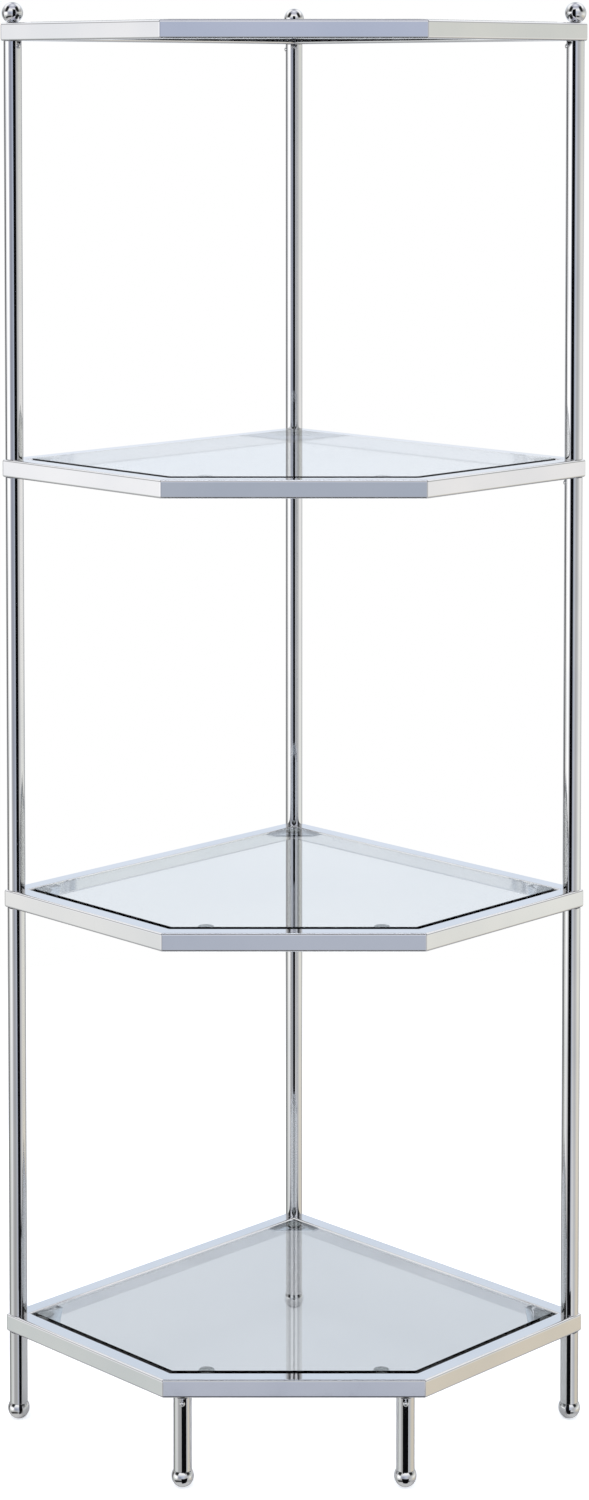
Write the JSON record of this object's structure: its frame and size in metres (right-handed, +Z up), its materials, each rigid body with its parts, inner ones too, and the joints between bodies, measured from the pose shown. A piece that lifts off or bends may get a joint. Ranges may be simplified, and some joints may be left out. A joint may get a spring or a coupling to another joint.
{
  "type": "corner shelf",
  "caption": "Free-standing corner etagere: mitred chrome tube frames with drop-in clear glass shelves between round tube posts, on ball feet and topped by ball finials.",
  "frame": {"origin": "on the floor, under the middle of the overall box", "axes": "+Z up, +Y towards the room corner, +X to the right seen from the front"},
  "size_m": [0.6116, 0.4818, 1.5055],
  "materials": {
    "frame_chrome": "polished",
    "tube_chrome": "polished",
    "ball_chrome": "polished",
    "clear_glass": "clear, polished",
    "tab_steel": "plated",
    "clear_pad": "clear, soft",
    "pin_chrome": "polished",
    "plug_steel": "turned",
    "stud_steel": "zinc plated"
  },
  "bodies": {
    "frame": {"bottom_rail_front": "frame_chrome", "bottom_rail_right_side": "frame_chrome", "bottom_rail_back_right": "frame_chrome", "bottom_rail_back_left": "frame_chrome", "bottom_rail_left_side": "frame_chrome", "bottom_glass_tabs": "tab_steel", "bottom_glass_pads": "clear_pad", "lower_rail_front": "frame_chrome", "lower_rail_right_side": "frame_chrome", "lower_rail_back_right": "frame_chrome", "lower_rail_back_left": "frame_chrome", "lower_rail_left_side": "frame_chrome", "lower_glass_tabs": "tab_steel", "lower_glass_pads": "clear_pad", "upper_rail_front": "frame_chrome", "upper_rail_right_side": "frame_chrome", "upper_rail_back_right": "frame_chrome", "upper_rail_back_left": "frame_chrome", "upper_rail_left_side": "frame_chrome", "upper_glass_tabs": "tab_steel", "upper_glass_pads": "clear_pad", "top_rail_front": "frame_chrome", "top_rail_right_side": "frame_chrome", "top_rail_back_right": "frame_chrome", "top_rail_back_left": "frame_chrome", "top_rail_left_side": "frame_chrome", "top_glass_tabs": "tab_steel", "top_glass_pads": "clear_pad", "left_post_lower": "tube_chrome", "left_post_middle": "tube_chrome", "left_post_upper": "tube_chrome", "left_finial": "ball_chrome", "right_post_lower": "tube_chrome", "right_post_middle": "tube_chrome", "right_post_upper": "tube_chrome", "right_finial": "ball_chrome", "back_post_lower": "tube_chrome", "back_post_middle": "tube_chrome", "back_post_upper": "tube_chrome", "back_finial": "ball_chrome", "left_leg": "tube_chrome", "left_foot": "ball_chrome", "right_leg": "tube_chrome", "right_foot": "ball_chrome", "back_leg": "tube_chrome", "back_foot": "ball_chrome", "front_left_leg": "tube_chrome", "front_left_foot": "ball_chrome", "front_right_leg": "tube_chrome", "front_right_foot": "ball_chrome", "post_end_plugs": "plug_steel", "leg_end_plugs": "plug_steel", "corner_studs": "stud_steel", "foot_studs": "stud_steel", "front_leg_studs": "stud_steel", "tube_lock_pins": "pin_chrome"},
    "bottom_pane": {"bottom_glass": "clear_glass"},
    "lower_pane": {"lower_glass": "clear_glass"},
    "upper_pane": {"upper_glass": "clear_glass"},
    "top_pane": {"top_glass": "clear_glass"}
  },
  "joints": [
    {"name": "bottom_pane_lift", "type": "slide", "parent": "frame", "child": "bottom_pane", "axis": [0, 0, 1], "range_m": [0, 0.06]},
    {"name": "lower_pane_lift", "type": "slide", "parent": "frame", "child": "lower_pane", "axis": [0, 0, 1], "range_m": [0, 0.06]},
    {"name": "upper_pane_lift", "type": "slide", "parent": "frame", "child": "upper_pane", "axis": [0, 0, 1], "range_m": [0, 0.06]},
    {"name": "top_pane_lift", "type": "slide", "parent": "frame", "child": "top_pane", "axis": [0, 0, 1], "range_m": [0, 0.06]}
  ]
}
